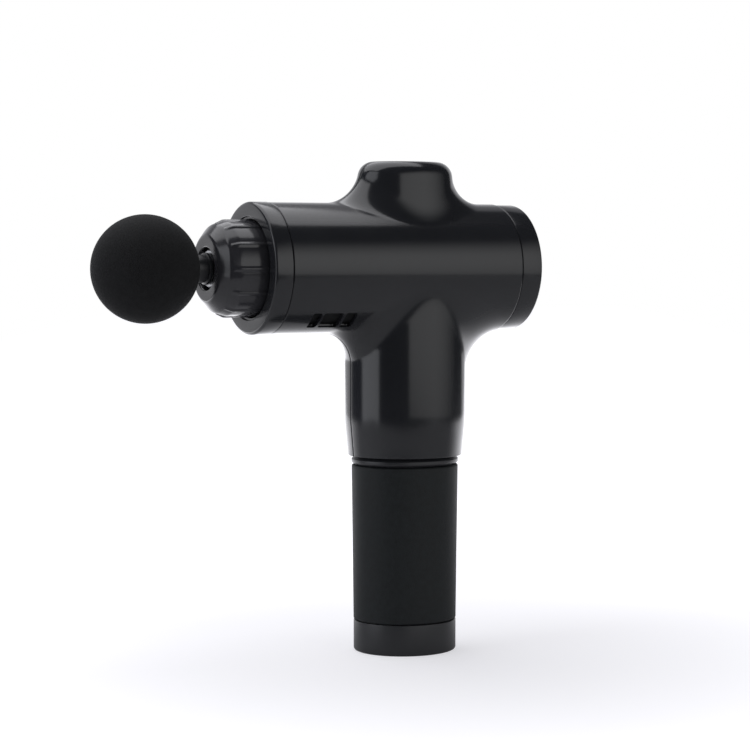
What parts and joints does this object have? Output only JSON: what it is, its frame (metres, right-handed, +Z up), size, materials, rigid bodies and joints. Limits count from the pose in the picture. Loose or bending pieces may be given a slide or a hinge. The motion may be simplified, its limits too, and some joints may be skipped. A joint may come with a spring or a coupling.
{
  "type": "massage gun",
  "caption": "T shaped cordless massage gun with a round foam head, a ribbed nose collar and a padded battery handle it stands on.",
  "frame": {"origin": "centre of the flat foot, on the handle's axis", "axes": "+Z up along the handle, -X towards the massage head, the plane y = 0 is the mirror plane"},
  "size_m": [0.22, 0.0624, 0.237],
  "materials": {
    "shell": "gloss",
    "nose": "gloss",
    "satin": "satin",
    "foam": "matte",
    "grip": "matte",
    "rubber": "matte",
    "nylon": "matte",
    "aluminium": "satin",
    "steel": "satin",
    "brass": "satin",
    "magnet": "satin",
    "board": "satin",
    "cell": "satin",
    "lens": "gloss"
  },
  "bodies": {
    "battery_pack": {"battery_case": "satin", "battery_cell_1": "cell", "battery_cell_2": "cell", "battery_cell_3": "cell", "cell_holder_bottom": "nylon", "cell_holder_top": "nylon", "cell_strip": "steel", "battery_board": "board", "contact_plus": "brass", "contact_minus": "brass", "grip_sleeve": "grip", "grip_collar": "satin", "base_cap": "satin", "base_screw_1": "steel", "base_screw_2": "steel", "charge_socket": "rubber", "charge_light": "lens", "rocker_frame": "rubber"},
    "rocker": {"power_rocker": "rubber"},
    "gun_body": {"left_housing": "shell", "right_housing": "shell", "housing_screw_1": "steel", "housing_screw_2": "steel", "housing_screw_3": "steel", "housing_screw_4": "steel", "front_ring": "shell", "nose_collar": "nose", "rear_cover": "shell", "control_panel": "satin", "speed_light_1": "lens", "speed_light_2": "lens", "speed_light_3": "lens", "control_board": "board", "button_spring": "steel", "motor_board": "board", "motor_frame": "aluminium", "lower_bearing": "steel", "upper_bearing": "steel", "piston_guide": "nylon", "damper_ring": "rubber", "stator_core": "steel", "contact_block": "nylon", "spring_pin_plus": "brass", "spring_pin_minus": "brass"},
    "power_button": {"power_button": "rubber"},
    "release_button": {"release_button": "rubber"},
    "rotor": {"motor_bell": "steel", "magnet_ring": "magnet", "motor_shaft": "steel", "crank": "steel", "crank_roller": "steel"},
    "piston": {"piston_yoke": "aluminium", "head_socket": "aluminium"},
    "head": {"massage_ball": "foam", "head_stem": "satin", "head_seal": "rubber"}
  },
  "joints": [
    {"name": "gun_lift", "type": "slide", "parent": "battery_pack", "child": "gun_body", "axis": [0, 0, 1], "range_m": [0, 0.045]},
    {"name": "rocker_tilt", "type": "hinge", "parent": "battery_pack", "child": "rocker", "pos_m": [-0.011, 0, 0.0036], "axis": [0, 1, 0], "range_deg": [0, 16]},
    {"name": "power_press", "type": "slide", "parent": "gun_body", "child": "power_button", "axis": [-1, 0, 0], "range_m": [0, 0.0008], "stiffness_N_per_m": 1500, "deforming": ["button_spring"]},
    {"name": "release_press", "type": "slide", "parent": "gun_body", "child": "release_button", "axis": [-1, 0, 0], "range_m": [0, 0.0012], "stiffness_N_per_m": 1500},
    {"name": "motor_turn", "type": "hinge", "parent": "gun_body", "child": "rotor", "pos_m": [0, 0, 0.2], "axis": [0, 0, 1], "range_deg": [0, 180]},
    {"name": "head_stroke", "type": "slide", "parent": "gun_body", "child": "piston", "axis": [-1, 0, 0], "range_m": [0, 0.012]},
    {"name": "head_pull", "type": "slide", "parent": "piston", "child": "head", "axis": [-1, 0, 0], "range_m": [0, 0.03]}
  ],
  "couplings": [
    {"joint": "motor_turn", "follows": "head_stroke", "rad_per_m": 261.79}
  ]
}
